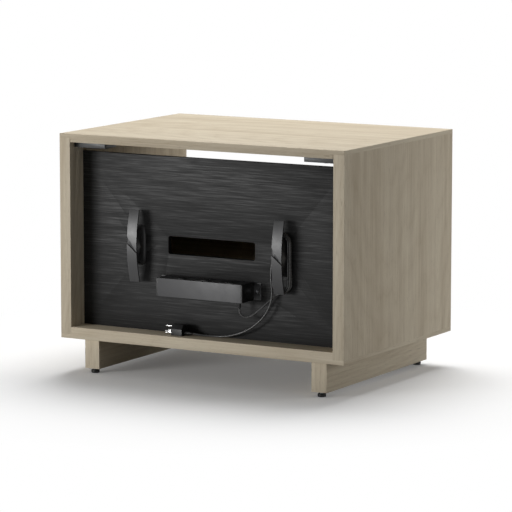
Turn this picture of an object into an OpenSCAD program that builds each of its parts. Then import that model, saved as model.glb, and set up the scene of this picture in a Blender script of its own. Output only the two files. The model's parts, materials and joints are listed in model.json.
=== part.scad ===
// Media cabinet with an open component bay above a pair of pivot-hung doors.
// A recessed rear bay carries a power box and two cord wraps.
// Units are millimetres. +Z is up, the doors face -Y, and the origin is on the floor
// under the middle of the case.

/* [Case] */
// Width across the outsides of the two sides
case_w = 700; // [580:10:860]
// Depth from the front edge to the rear edge
case_d = 500; // [420:10:600]
// Height of the case alone, without its legs
case_h = 448; // [400:4:540]
// Thickness of each side
side_t = 26; // [22:1:31]
// Thickness of the top
top_t = 18; // [16:1:22]
// Thickness of the bottom
bottom_t = 25; // [21:1:30]
// Thickness of the top and bottom where they lap over the ends of the sides
lap_t = 9; // [8:1:11]
// Open reveal between the thick part of the top and each side
reveal = 1.5; // [0.5:0.1:2.5]
// How far the bevel round the front cuts into the case walls
bevel_in = 7; // [4:1:8]
// How far back the bevel round the front runs
bevel_deep = 14; // [8:1:18]

/* [Back panel] */
// Distance from the rear edge of the case to the back panel
back_inset = 53; // [50:1:64]
// Thickness of the back panel
back_t = 12; // [10:1:15]
// Height of the open gap between the back panel and the top
back_gap = 24; // [20:1:29]
// Depth of the grooves that hold the back panel
groove = 6; // [4:1:7]
// Width of the cable slot
slot_w = 215; // [150:5:260]
// Height of the cable slot
slot_h = 39; // [30:1:47]
// Corner radius of the cable slot
slot_r = 5; // [3:1:8]
// Height of the middle of the cable slot above the floor of the case
slot_up = 189.5; // [160:0.5:200]

/* [Bay and shelves] */
// Clear height of the open component bay
bay_h = 130; // [100:1:156]
// Thickness of both shelves
shelf_t = 18; // [15:1:22]
// Row of pin holes that the adjustable shelf stands on, counted from the bottom
shelf_row = 3; // [2:1:4]
// Height of the lowest row of pin holes above the floor of the case
pin_up = 61.5; // [45:0.5:75]
// Diameter of the shelf pins
pin_d = 5; // [4:0.5:6]
// Number of rows of pin holes
pin_rows = 5; // [4:1:5]

/* [Doors] */
// Thickness of the doors
door_t = 20; // [17:1:24]
// Gap round and between the doors
door_gap = 3; // [2.5:0.5:3.6]
// Distance from a door's hinge edge to its pivot
pivot_in = 12; // [11:1:14]
// Distance from a door's front face to its pivot
pivot_back = 8; // [7:0.5:8]
// Diameter of the pivot pins
pivot_d = 5; // [4:0.5:6]
// Width of the finger notch that the two doors share
notch_w = 93; // [75:1:111]
// Depth of the finger notch
notch_h = 22; // [18:1:27]

/* [Legs and feet] */
// Height of the legs
leg_h = 66; // [55:1:80]
// Thickness of the legs
leg_t = 36; // [30:1:44]
// Distance from the outside of the case to the outside of a leg
leg_inset = 50; // [42:1:60]
// Distance from the rear or front of the case to the end of a leg
leg_setback = 18; // [12:1:24]
// Height of the feet under the legs
foot_h = 11; // [10:1:13]
// Diameter of the foot pads
foot_d = 18; // [15:1:22]
// Diameter of the foot stems
stem_d = 8; // [6:1:9]

/* [Cord wraps] */
// Distance from the middle of the case to the middle of a wrap
wrap_x = 179; // [150:1:215]
// Height of a wrap's middle above the floor of the case
wrap_up = 185; // [165:1:195]
// Overall height of a wrap
wrap_h = 156; // [130:2:180]
// Width of a wrap's wings
wrap_w = 24; // [20:1:26]
// Distance that a wrap stands off the back panel
wrap_reach = 35; // [30:1:38]
// Thickness of a wrap's wings and base
wrap_t = 3; // [2.5:0.5:4]

/* [Power box] */
// Length of the power box
box_w = 212; // [180:2:254]
// Depth of the power box from the panel to its face
box_d = 50; // [45:1:52]
// Height of the power box
box_h = 39; // [34:1:46]
// Height of the power box's underside above the floor of the case
box_up = 86; // [72:1:103]
// Length of each mounting ear
ear_w = 18; // [15:1:21]
// Wall of the metal housing
box_wall = 1.6; // [1.4:0.1:2]
// Number of outlets
outlets_n = 3; // [2:1:3]

/* [Cord] */
// Diameter of the cord
cord_d = 4; // [3.5:0.5:4]

/* [Hidden] */
$fn = 48;

oak = [0.78, 0.72, 0.62];
ebony = [0.13, 0.13, 0.13];
graphite = [0.27, 0.27, 0.28];
black = [0.07, 0.07, 0.07];
steel = [0.72, 0.72, 0.74];
brass = [0.80, 0.64, 0.30];
nylon = [0.86, 0.86, 0.84];
beech = [0.84, 0.70, 0.50];

front = -case_d / 2;
rear = case_d / 2;
case_z = leg_h + foot_h;
floor_z = case_z + bottom_t;
top_z = case_z + case_h;
ceil_z = top_z - top_t;
bay_z = ceil_z - bay_h;
cell_z = bay_z - shelf_t;
in_x = case_w / 2 - side_t;
back_y = rear - back_inset;
back_front = back_y - back_t;
back_top = ceil_z - back_gap;

over = 1; // a cutter's overrun past the face it cuts
seat_gap = 0.3; // clearance of a piece that drops or slides into its seat
fit_gap = 0.05; // radial clearance of fasteners, pins and stems

wall_mid = case_w / 2 - side_t / 2;
joint_ys = [for (k = [-1, 0, 1]) k * case_d * 0.36];

dowel_d = 8;
dowel_up = 6;
dowel_down = 18;
base_screw = [6, 11, 48]; // shank diameter, head diameter, length
shelf_dowel_in = 12;
shelf_dowel_edge = 40; // distance from a shelf dowel to the shelf's nearer edge

slot_z = floor_z + slot_up;

pin_pitch = 32;
pin_first = floor_z + pin_up;
low_z = pin_first + (shelf_row - 1) * pin_pitch + pin_d / 2;
pin_depth = 9;
pin_ys = [-0.34 * case_d, 0.24 * case_d];
shelf_side_gap = 1;
shelf_front_gap = 12;
shelf_back_gap = 2;
pin_out = 10;

door_y = front + bevel_deep;
door_back = door_y + door_t;
door_w = in_x - 1.5 * door_gap;
door_z0 = floor_z + door_gap;
door_z1 = cell_z - door_gap;
pivot_x = in_x - door_gap - pivot_in;
pivot_y = door_y + pivot_back;
pivot_grip = 20; // length of a pin inside the door
bush_wall = 1.5;
bush_flange = 1.2;
bush_deep = 10;
notch_r = 10;

catch_size = [40, 15, 14];
catch_x = 80;
catch_gap = 0.3;
catch_floor = 4; // plastic left under the shelf at a catch's screws
catch_holes = [-13, 13];
strike_t = 1.2;
strike_size = [30, 11];
strike_z = door_z1 - strike_size[1] / 2 - 0.5;
catch_screw = [3, 5.6, 12];
strike_screw = [3, 5.6, 12];

leg_x = case_w / 2 - leg_inset - leg_t / 2;
leg_end = case_d / 2 - leg_setback;
leg_screw = [6, 12, 70];
leg_ys = [for (k = [-1, 0, 1]) k * leg_end * 0.68];

foot_in = 13; // distance from a foot's middle to the end of its leg
foot_y = leg_end - foot_in;
pad_h = foot_h - 3;
stem_z0 = 3;
stem_len = 40;
insert_d = stem_d + 4;
insert_len = 16;
stem_room = 8; // empty bore above a stem

bracket_size = [80, 45, 12];
bracket_back = 18; // distance from the rear of the case to a corner bracket
bracket_r = 3;
bracket_z = ceil_z - bracket_size[2];
peg_d = 8;
peg_len = 10;
peg_ys = [for (k = [0.24, 0.76]) rear - bracket_back - k * bracket_size[1]];
bolt_x = in_x - 37;
bolt_y = rear - bracket_back - bracket_size[1] / 2;
bolt_head = [15, 2.5];
bolt_d = 6;
bolt_up = 10; // length of a bolt inside the top
sleeve_d = 9;

wrap_z = floor_z + wrap_up;
wrap_sag = 12; // how much nearer the panel a wing's tip is than its middle
wrap_r = (pow(wrap_h / 2, 2) + pow(wrap_sag, 2)) / (2 * wrap_sag);
wrap_base = [30, 150];
post_w = wrap_w - 2;
post_half = 42;
post_waist = 6;
slit_w = 3;
slit_angle = 48;
wrap_screw = [4, 8, 26];
wrap_screw_z = 24;

box_z = floor_z + box_up;
plate_t = 2;
box_y = back_y + plate_t;
box_mid_y = box_y + box_d / 2;
cap_t = 3;
cap_lip = 6;
lip_t = 1.5;
plate_h = box_h - 3;
ear_x = box_w / 2 + ear_w / 2;
ear_screw = [4, 8, 13];
stud_d = 4;
stud_len = 9;
stud_x = box_w / 2 - 18;
stud_z = box_z + 9;
nut = [8, 3];

outlet_pitch = 60;
outlet_face = [34, 30];
outlet_ledge = 2;
outlet_deep = 15;
outlet_proud = 0.4;
blade_gap = 12.7;
blade_t = 1.6;
slot_t = 2.4;
blade_slots = [8.5, 7];
earth_d = 5.4;
bar_size = [6, 0.8];
bar_ys = [-9, 0, 9];

switch_size = [13, 22];
rocker_rest = 7; // angle of the rocker at rest
rocker_gap = 0.4;
rocker_deep = 8;
rocker_axis = 3; // depth of the rocker's axis inside the cap's face
axle_d = 3;
bezel_t = 2;

gland_x = -84;
gland_y = rear - 27;
gland_flange = [12, 2];
gland_out = 16; // length of the gland below the box
gland_in = 8; // length of the gland inside the box
gland_tip_d = cord_d + 1.6;
gland_root_d = 8;

// The cord's two free stretches: power box to coil, and coil to plug.
lead_route = [
    [-84, 223, 171.5], [-84, 223, 165], [-87, 222.5, 158.5], [-93, 221.5, 154.5], [-101, 220.5, 153.5],
    [-110, 219, 156.5], [-120, 217, 163.5], [-130, 214.5, 172.5], [-140, 211.5, 182.5], [-150, 208, 192.5],
    [-157, 205.5, 199], [-164, 203.5, 204.5], [-171, 202.8, 208.5], [-179, 202.5, 210.5]];
tail_route = [
    [-159.5, 207, 306], [-158.5, 207.5, 292], [-156, 208, 278], [-154, 208.5, 264], [-153, 209, 249],
    [-154, 210, 234], [-156.5, 211, 220], [-157.5, 212, 207], [-156, 212.5, 193], [-151, 213, 178],
    [-143, 213, 163], [-131, 213, 149], [-116, 213, 136], [-98, 212, 124.5], [-78, 211, 115.5],
    [-57, 209.5, 109], [-37, 208, 105.2], [-18, 208, 104.2], [-3, 210, 104.2], [10, 214, 104.4],
    [21, 218.5, 106], [32, 222, 108]];
cord_ring_sides = 8;
coil_centre = [-179, 207];
coil_z = [230.5, 321];
coil_r = [13.8, 22.4];
coil_t = 13;

plug_x = 52; // where the sleeve meets the plug
plug_len = 27;
plug_mid_y = 222.5;
plug_w = 25;
plug_low = 14;
plug_h = 24;
plug_top_w = 10;
sleeve_len = 20;
sleeve_z = 6;
sleeve_root_d = 9;
prong_len = 17.5;
prong_h = 6.4;
prong_z = 6.5;
prong_hole_d = 3;
earth_z = 18.4;
earth_pin_d = 4.8;
prong_in = 5; // length of a prong inside the plug

// ---- Shapes that repeat ----

// A box between two opposite corners.
module block(low, high) {
    translate(low) cube(high - low);
}

// A flat rectangle with round corners, centred.
module rounded(size, r) {
    square([size[0] - 2 * r, size[1]], center = true);
    square([size[0], size[1] - 2 * r], center = true);
    for (x = [-1, 1], y = [-1, 1])
        translate([x * (size[0] / 2 - r), y * (size[1] / 2 - r)]) circle(r);
}

// Children at both sides of the case, the right one mirrored.
module both_sides() {
    for (s = [0, 1]) mirror([s, 0, 0]) children();
}

// Turns +Z to +Y or to -Y, for what runs front to back.
module along_y() {
    rotate([-90, 0, 0]) children();
}
module against_y() {
    rotate([90, 0, 0]) children();
}

// A countersunk screw whose head is flush with z = 0 and whose point is down.
// s holds its shank diameter, head diameter and length; grow widens it into a hole.
module screw(s, grow = 0) {
    head_h = (s[1] - s[0]) / 2;
    translate([0, 0, -s[2] - grow]) cylinder(d = s[0] + 2 * grow, h = s[2] - head_h + grow);
    translate([0, 0, -head_h]) cylinder(d1 = s[0] + 2 * grow, d2 = s[1] + 2 * grow, h = head_h);
    if (grow > 0) cylinder(d = s[1] + 2 * grow, h = over);
}

// A pan-head screw whose head sits on z = 0, with head_h its height.
module pan_screw(s, head_h, grow = 0) {
    translate([0, 0, -s[2] - grow]) cylinder(d = s[0] + 2 * grow, h = s[2] + grow);
    cylinder(d = s[1], h = head_h);
}

// ---- Case ----

// The opening of the case, flared at the front, less what is behind the bevel.
module front_flare() {
    flare = [[in_x, door_y], [in_x + bevel_in, front], [in_x + bevel_in, front - over],
        [-in_x - bevel_in, front - over], [-in_x - bevel_in, front], [-in_x, door_y]];
    top_bevel = bevel_in * top_t / bottom_t;
    rise = [[door_y, floor_z], [door_y, ceil_z], [front, ceil_z + top_bevel],
        [front - over, ceil_z + top_bevel], [front - over, floor_z - bevel_in], [front, floor_z - bevel_in]];
    intersection() {
        linear_extrude(top_z) polygon(flare);
        rotate([90, 0, 90]) linear_extrude(case_w + 2 * over, center = true) polygon(rise);
    }
}

module top_dowel_set(grow = 0) {
    both_sides() for (y = joint_ys)
        translate([wall_mid, y, top_z - lap_t - dowel_down - 2 * grow])
            cylinder(d = dowel_d + 2 * grow, h = dowel_down + dowel_up + 4 * grow);
}

module base_screw_set(grow = 0) {
    both_sides() for (y = joint_ys)
        translate([wall_mid, y, case_z]) mirror([0, 0, 1]) screw(base_screw, grow);
}

shelf_dowel_ys = [door_y + shelf_dowel_edge, (door_y + back_front) / 2, back_front - shelf_dowel_edge];

module shelf_dowel_set(grow = 0) {
    both_sides() for (y = shelf_dowel_ys)
        translate([in_x - dowel_down - 2 * grow, y, bay_z - shelf_t / 2])
            rotate([0, 90, 0]) cylinder(d = dowel_d + 2 * grow, h = dowel_down + shelf_dowel_in + 4 * grow);
}

module top_insert_holes() {
    both_sides() translate([bolt_x, bolt_y, ceil_z - over])
        cylinder(d = sleeve_d + 2 * fit_gap, h = bolt_up + 1 + over);
}

module top_panel() color(oak) difference() {
    block([-case_w / 2, front, ceil_z], [case_w / 2, rear, top_z]);
    both_sides() block([in_x - reveal, front - over, ceil_z - over], [case_w / 2 + over, rear + over, top_z - lap_t]);
    top_dowel_set(fit_gap);
    top_insert_holes();
    front_flare();
}

module bottom_panel() color(oak) difference() {
    block([-case_w / 2, front, case_z], [case_w / 2, rear, floor_z]);
    both_sides() block([in_x, front - over, case_z + lap_t], [case_w / 2 + over, rear + over, floor_z + over]);
    block([-in_x - over, back_front - seat_gap, floor_z - groove], [in_x + over, back_y + seat_gap, floor_z + over]);
    base_screw_set(fit_gap);
    leg_screw_set(fit_gap);
    both_sides() pivot_seat();
    front_flare();
}

// The side at +X; side_left is its mirror image.
module side_panel() color(oak) difference() {
    block([in_x, front, case_z + lap_t], [case_w / 2, rear, top_z - lap_t]);
    block([in_x - over, back_front - seat_gap, floor_z - groove], [in_x + groove, back_y + seat_gap, top_z]);
    top_dowel_set(fit_gap);
    base_screw_set(fit_gap);
    shelf_dowel_set(fit_gap);
    for (y = pin_ys, k = [0 : pin_rows - 1])
        translate([in_x - over, y, pin_first + k * pin_pitch])
            rotate([0, 90, 0]) cylinder(d = pin_d + 2 * fit_gap, h = pin_depth + over);
    for (y = peg_ys) translate([in_x - over, y, bracket_z + bracket_size[2] / 2])
        rotate([0, 90, 0]) cylinder(d = peg_d + 2 * fit_gap, h = peg_len + seat_gap + over);
    front_flare();
}

module component_shelf() color(oak) difference() {
    block([-in_x, door_y, cell_z], [in_x, back_front - seat_gap, bay_z]);
    shelf_dowel_set(fit_gap);
    both_sides() translate([0, 0, cell_z + floor_z]) mirror([0, 0, 1]) pivot_seat();
    catch_screw_set(fit_gap);
}

module adjustable_shelf() color(oak)
    block([-in_x + shelf_side_gap, door_back + shelf_front_gap, low_z],
        [in_x - shelf_side_gap, back_front - shelf_back_gap, low_z + shelf_t]);

module shelf_pins() color(steel) both_sides() for (y = pin_ys)
    translate([in_x - pin_out, y, low_z - pin_d / 2])
        rotate([0, 90, 0]) cylinder(d = pin_d, h = pin_out + pin_depth - seat_gap);

module top_dowels() color(beech) top_dowel_set();
module base_screws() color(steel) base_screw_set();
module shelf_dowels() color(beech) shelf_dowel_set();

// ---- Back panel ----

module back_panel() color(ebony) difference() {
    translate([0, back_y, 0]) against_y() linear_extrude(back_t) difference() {
        translate([-in_x - groove + seat_gap, floor_z - groove + seat_gap])
            square([2 * (in_x + groove - seat_gap), back_top - floor_z + groove - seat_gap]);
        translate([0, slot_z]) rounded([slot_w, slot_h], slot_r);
    }
    wrap_screw_set(fit_gap);
    ear_screw_set(fit_gap);
}

// ---- Corner brackets ----

// The bracket at +X: a block under the top, square at the side and round at its free end,
// with two pegs in the side.
module corner_bracket() color(black) difference() {
    bracket_y = rear - bracket_back - bracket_size[1];
    union() {
        translate([in_x - bracket_size[0] / 2, bracket_y + bracket_size[1] / 2, bracket_z])
            linear_extrude(bracket_size[2]) rounded([bracket_size[0], bracket_size[1]], bracket_r);
        block([in_x - 2 * bracket_r, bracket_y, bracket_z], [in_x, bracket_y + bracket_size[1], ceil_z]);
        for (y = peg_ys) translate([in_x - over, y, bracket_z + bracket_size[2] / 2])
            rotate([0, 90, 0]) cylinder(d = peg_d, h = peg_len + over);
    }
    translate([bolt_x, bolt_y, bracket_z - over])
        cylinder(d = bolt_d + 2 * fit_gap, h = bracket_size[2] + 2 * over);
}

module bracket_bolts() color(steel) both_sides() translate([bolt_x, bolt_y, bracket_z]) {
    translate([0, 0, -bolt_head[1]]) cylinder(d = bolt_head[0], h = bolt_head[1]);
    cylinder(d = bolt_d, h = bracket_size[2] + bolt_up);
}

module top_inserts() color(brass) both_sides() translate([bolt_x, bolt_y, ceil_z]) difference() {
    cylinder(d = sleeve_d, h = bolt_up);
    translate([0, 0, -over]) cylinder(d = bolt_d + 2 * fit_gap, h = bolt_up + 2 * over);
}

// ---- Legs and feet ----

module leg_screw_set(grow = 0) {
    both_sides() for (y = leg_ys) translate([leg_x, y, floor_z]) screw(leg_screw, grow);
}

module leg() color(oak) difference() {
    block([leg_x - leg_t / 2, -leg_end, foot_h], [leg_x + leg_t / 2, leg_end, case_z]);
    leg_screw_set(fit_gap);
    for (s = [-1, 1]) translate([leg_x, s * foot_y, foot_h - over]) {
        cylinder(d = insert_d + 2 * fit_gap, h = insert_len + over);
        cylinder(d = stem_d + 1, h = stem_z0 + stem_len + stem_room - foot_h + over);
    }
}

module leg_screws() color(steel) leg_screw_set();

module foot_inserts() color(brass) both_sides() for (s = [-1, 1])
    translate([leg_x, s * foot_y, foot_h]) difference() {
        cylinder(d = insert_d, h = insert_len);
        translate([0, 0, -over]) cylinder(d = stem_d + 2 * fit_gap, h = insert_len + 2 * over);
    }

// A foot's pad and stem; sx and sy choose the corner.
module foot_pad(sx, sy) color(black) translate([sx * leg_x, sy * foot_y, 0]) difference() {
    union() {
        cylinder(d1 = foot_d - 2, d2 = foot_d, h = 1.2);
        translate([0, 0, 1.2]) cylinder(d = foot_d, h = pad_h - 2.7);
        translate([0, 0, pad_h - 1.5]) cylinder(d1 = foot_d, d2 = foot_d - 4, h = 1.5);
    }
    translate([0, 0, stem_z0]) cylinder(d = stem_d + 2 * fit_gap, h = pad_h);
}

module foot_stem(sx, sy) color(steel)
    translate([sx * leg_x, sy * foot_y, stem_z0]) cylinder(d = stem_d, h = stem_len);

// ---- Doors ----

// The hole for a pivot bush in the floor of the case.
module pivot_seat() {
    translate([pivot_x, pivot_y, floor_z - bush_deep])
        cylinder(d = pivot_d + 2 * bush_wall + 2 * fit_gap, h = bush_deep + over);
}

// The door hung at +X; door_left is its mirror image.
module door() color(oak) difference() {
    block([in_x - door_gap - door_w, door_y, door_z0], [in_x - door_gap, door_back, door_z1]);
    translate([0, door_back + over, door_z1]) against_y()
        linear_extrude(door_t + 2 * over) rounded([notch_w, 2 * notch_h], notch_r);
    for (z = [door_z0 - over, door_z1 - pivot_grip - seat_gap])
        translate([pivot_x, pivot_y, z]) cylinder(d = pivot_d + 2 * fit_gap, h = pivot_grip + seat_gap + over);
    strike_screw_at(fit_gap);
}

module pivot_pins() color(steel) {
    reach = door_gap + bush_deep - 1;
    translate([pivot_x, pivot_y, door_z0 - reach]) cylinder(d = pivot_d, h = reach + pivot_grip);
    translate([pivot_x, pivot_y, door_z1 - pivot_grip]) cylinder(d = pivot_d, h = reach + pivot_grip);
}

// A flanged nylon bush standing in the floor, its flange up.
module pivot_bush() {
    bore = pivot_d + 2 * fit_gap;
    translate([pivot_x, pivot_y, floor_z]) difference() {
        union() {
            translate([0, 0, -bush_deep + seat_gap]) cylinder(d = pivot_d + 2 * bush_wall, h = bush_deep);
            cylinder(d = pivot_d + 2 * bush_wall + 3, h = bush_flange);
        }
        translate([0, 0, -bush_deep]) cylinder(d = bore, h = bush_deep + bush_flange + over);
    }
}

module pivot_bushes() color(nylon) both_sides() {
    pivot_bush();
    translate([0, 0, cell_z + floor_z]) mirror([0, 0, 1]) pivot_bush();
}

catch_y = door_back + strike_t + catch_gap + catch_size[1] / 2;

module catch_screw_set(grow = 0) {
    both_sides() for (x = catch_holes)
        translate([catch_x + x, catch_y, cell_z - catch_floor]) mirror([0, 0, 1]) screw(catch_screw, grow);
}

// The magnetic catches under the component shelf, with a well for each screw's head.
module door_catches() color(ebony) both_sides() difference() {
    translate([catch_x - catch_size[0] / 2, catch_y - catch_size[1] / 2, cell_z - catch_size[2]])
        cube(catch_size);
    catch_screw_set(fit_gap);
    for (x = catch_holes) translate([catch_x + x, catch_y, cell_z - catch_size[2] - over])
        cylinder(d = catch_screw[1] + 1, h = catch_size[2] - catch_floor + over);
}

module catch_screws() color(steel) catch_screw_set();

module strike_screw_at(grow = 0) {
    translate([catch_x, door_back + strike_t, strike_z]) along_y() screw(strike_screw, grow);
}

module strike() color(steel) difference() {
    translate([catch_x - strike_size[0] / 2, door_back, strike_z - strike_size[1] / 2])
        cube([strike_size[0], strike_t, strike_size[1]]);
    strike_screw_at(fit_gap);
}

// ---- Cord wraps ----

module wrap_screw_set(grow = 0) {
    for (s = [-1, 1], k = [-1, 1])
        translate([s * wrap_x, back_front, wrap_z + k * wrap_screw_z]) against_y() screw(wrap_screw, grow);
}

// The bow-shaped pair of wings in side view: first axis along +Y, second along +Z.
module wing_profile() {
    middle = back_y + wrap_reach;
    intersection() {
        translate([middle - wrap_r, wrap_z]) difference() {
            circle(wrap_r, $fn = 96);
            circle(wrap_r - wrap_t, $fn = 96);
        }
        translate([back_y, wrap_z - wrap_h / 2]) square([wrap_reach + over, wrap_h]);
    }
}

// The post in side view, drawn in at its waist.
module post_profile() {
    outer = back_y + wrap_reach - wrap_t / 2;
    inner = back_y + wrap_t / 2;
    polygon([[inner, wrap_z - post_half], [inner + 16, wrap_z - post_half + post_waist], [outer, wrap_z - post_half + 2],
        [outer, wrap_z + post_half - 2], [inner + 16, wrap_z + post_half - post_waist], [inner, wrap_z + post_half]]);
}

// A wrap with its middle at x: base plate, post and two wings parted by a slanting slit.
module cord_wrap(x) color(graphite) difference() {
    union() {
        translate([x, back_y + wrap_t, wrap_z]) against_y() linear_extrude(wrap_t) rounded(wrap_base, 12);
        translate([x, 0, 0]) rotate([90, 0, 90]) {
            linear_extrude(post_w, center = true) post_profile();
            linear_extrude(wrap_w, center = true) wing_profile();
        }
    }
    translate([x, back_y + wrap_reach, wrap_z]) rotate([0, -slit_angle, 0])
        cube([2 * wrap_w, 2 * wrap_t + 4, slit_w], center = true);
    wrap_screw_set(fit_gap);
}

module wrap_screws() color(steel) wrap_screw_set();

// ---- Power box ----

module ear_screw_set(grow = 0) {
    for (s = [-1, 1]) translate([s * ear_x, back_y + plate_t, box_z + box_h / 2])
        along_y() pan_screw(ear_screw, 2.4, grow);
}

module power_bracket() color(graphite) difference() {
    union() {
        translate([0, back_y + plate_t, box_z + box_h / 2]) against_y()
            linear_extrude(plate_t) rounded([box_w + 2 * ear_w, plate_h], 3);
        for (s = [-1, 1]) translate([s * stud_x, back_y + plate_t, stud_z])
            along_y() translate([0, 0, -0.5]) cylinder(d = stud_d, h = stud_len + 0.5);
    }
    ear_screw_set(fit_gap);
}

module ear_screws() color(steel) ear_screw_set();

module stud_nuts() color(steel) for (s = [-1, 1])
    translate([s * stud_x, box_y + box_wall, stud_z]) along_y() difference() {
        cylinder(d = nut[0], h = nut[1], $fn = 6);
        translate([0, 0, -over]) cylinder(d = stud_d + 2 * fit_gap, h = nut[1] + 2 * over);
    }

outlet_xs = [for (k = [0 : outlets_n - 1]) (k - (outlets_n - 1) / 2) * outlet_pitch];

module power_housing() color(graphite) difference() {
    block([-box_w / 2 + cap_t, box_y, box_z], [box_w / 2 - cap_t, box_y + box_d, box_z + box_h]);
    block([-box_w / 2, box_y + box_wall, box_z + box_wall],
        [box_w / 2, box_y + box_d - box_wall, box_z + box_h - box_wall]);
    for (x = outlet_xs) translate([x, box_mid_y, box_z + box_h - box_wall - over])
        linear_extrude(box_wall + 2 * over) square(outlet_face + [0.4, 0.4], center = true);
    for (s = [-1, 1]) translate([s * stud_x, box_y - over, stud_z])
        along_y() cylinder(d = stud_d + 2 * fit_gap, h = box_wall + 2 * over);
    translate([gland_x, gland_y, box_z - over]) cylinder(d = gland_root_d + 2 * fit_gap, h = box_wall + 2 * over);
}

// The cap at +X: a plate on the end of the housing with a lip inside it.
module end_cap() {
    inside = [box_d - 2 * box_wall - 2 * seat_gap, box_h - 2 * box_wall - 2 * seat_gap];
    translate([box_w / 2 - cap_t, box_mid_y, box_z + box_h / 2]) rotate([90, 0, 90]) {
        linear_extrude(cap_t) rounded([box_d, box_h], 1.5);
        translate([0, 0, -cap_lip]) linear_extrude(cap_lip + 0.5) difference() {
            square(inside, center = true);
            square(inside - [2 * lip_t, 2 * lip_t], center = true);
        }
    }
}

module end_cap_left() color(black) mirror([1, 0, 0]) end_cap();

// The right cap carries the switch in a frame behind its opening.
module end_cap_right() color(black) difference() {
    union() {
        end_cap();
        translate([box_w / 2 - rocker_deep - 1, box_mid_y, box_z + box_h / 2]) rotate([90, 0, 90])
            linear_extrude(rocker_deep) square(switch_size + [2 * bezel_t, 2 * bezel_t], center = true);
    }
    translate([box_w / 2 - rocker_deep - 2, box_mid_y, box_z + box_h / 2]) rotate([90, 0, 90])
        linear_extrude(rocker_deep + 2 + over) square(switch_size, center = true);
    translate([box_w / 2 - rocker_axis, box_mid_y - switch_size[0] / 2 - 1.6, box_z + box_h / 2])
        along_y() cylinder(d = axle_d + 2 * fit_gap, h = switch_size[0] + 3.2);
}

// The rocker: two slanting faces over a round hub, tipped to one side at rest.
module power_switch() color(black) {
    half = switch_size[1] / 2 - 1.6;
    body_w = switch_size[0] - 2 * rocker_gap;
    translate([box_w / 2 - rocker_axis, box_mid_y, box_z + box_h / 2]) rotate([0, rocker_rest, 0])
        rotate([90, 0, 0]) {
            linear_extrude(body_w, center = true)
                polygon([[-2.5, -half + 3], [1.2, -half], [2.6, -half], [1.6, 0], [2.6, half], [1.2, half], [-2.5, half - 3]]);
            cylinder(d = axle_d, h = switch_size[0] + 2.6, center = true);
        }
}

// An outlet module with its face up at z = 0: ledge under the housing's wall, two slots, one round hole.
module outlet() {
    wall_z = -outlet_proud - box_wall;
    difference() {
        union() {
            translate([0, 0, wall_z]) linear_extrude(box_wall + outlet_proud) square(outlet_face, center = true);
            translate([0, 0, wall_z - outlet_deep]) linear_extrude(outlet_deep)
                square(outlet_face + [2 * outlet_ledge, 2 * outlet_ledge], center = true);
        }
        for (k = [0, 1]) translate([k == 0 ? -blade_gap / 2 : blade_gap / 2, -3, wall_z - outlet_deep + 2])
            linear_extrude(outlet_deep + 4) square([slot_t, blade_slots[k]], center = true);
        translate([0, 8.9, wall_z - outlet_deep + 2]) cylinder(d = earth_d, h = outlet_deep + 4);
    }
}

module outlets() color(black) for (x = outlet_xs)
    translate([x, box_mid_y, box_z + box_h + outlet_proud]) outlet();

// The live, neutral and earth strips under the outlets.
module bus_bars() color(brass) for (y = bar_ys) {
    half = outlet_xs[outlets_n - 1] + 14;
    top = box_z + box_h - box_wall - outlet_deep;
    block([-half, box_mid_y + y - bar_size[0] / 2, top - bar_size[1]], [half, box_mid_y + y + bar_size[0] / 2, top]);
}

// ---- Cord, gland and plug ----

module cord_gland() color(black) translate([gland_x, gland_y, box_z]) difference() {
    union() {
        translate([0, 0, box_wall + seat_gap]) cylinder(d = gland_flange[0], h = gland_flange[1]);
        cylinder(d = gland_root_d, h = gland_in);
        translate([0, 0, -gland_out]) cylinder(d1 = gland_tip_d, d2 = gland_root_d, h = gland_out);
    }
    translate([0, 0, 2]) cylinder(d = cord_d, h = gland_in);
}

function unit(v) = v / norm(v);
// Direction of a route at point i.
function heading(p, i) = unit(p[min(i + 1, len(p) - 1)] - p[max(i - 1, 0)]);
// One point between p1 and p2 on a smooth curve through p0 to p3.
function between(p0, p1, p2, p3, t) = 0.5 * (2 * p1 + (p2 - p0) * t
    + (2 * p0 - 5 * p1 + 4 * p2 - p3) * t * t + (3 * p1 - p0 - 3 * p2 + p3) * t * t * t);
// The route with one more point in the middle of each stretch.
function smoothed(p) = [for (i = [0 : len(p) - 2], t = [0, 0.5])
        between(p[max(i - 1, 0)], p[i], p[i + 1], p[min(i + 2, len(p) - 1)], t),
    p[len(p) - 1]];
// A ring of points round point i, square to the route.
function ring(p, i, r, n) = let (h = heading(p, i), side = unit(cross(h, [0, 1, 0])), up = cross(side, h))
    [for (k = [0 : n - 1]) p[i] + r * (cos(360 * k / n) * side + sin(360 * k / n) * up)];

// A closed tube along a route.
module tube(route, r, n) {
    p = smoothed(route);
    last = len(p) - 1;
    points = [for (i = [0 : last]) each ring(p, i, r, n)];
    walls = [for (i = [0 : last - 1], k = [0 : n - 1]) let (a = i * n + k, b = i * n + (k + 1) % n)
        each [[a, a + n, b], [b, a + n, b + n]]];
    start = [for (k = [0 : n - 1]) k];
    end = [for (k = [n - 1 : -1 : 0]) last * n + k];
    polyhedron(points, concat(walls, [start, end]), convexity = 8);
}

module cord_lead() color(black) tube(lead_route, cord_d / 2, cord_ring_sides);
module cord_tail() color(black) tube(tail_route, cord_d / 2, cord_ring_sides);

module racetrack(r) {
    for (z = coil_z) translate([coil_centre[0], z]) circle(r);
    translate([coil_centre[0] - r, coil_z[0]]) square([2 * r, coil_z[1] - coil_z[0]]);
}

module cord_coil() color(black) translate([0, coil_centre[1] + coil_t / 2, 0]) against_y()
    linear_extrude(coil_t) difference() {
        racetrack(coil_r[1]);
        racetrack(coil_r[0]);
    }

module plug_sleeve() color(black) translate([plug_x, plug_mid_y, floor_z + sleeve_z]) rotate([0, -90, 0])
    cylinder(d1 = sleeve_root_d, d2 = gland_tip_d, h = sleeve_len);

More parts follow.
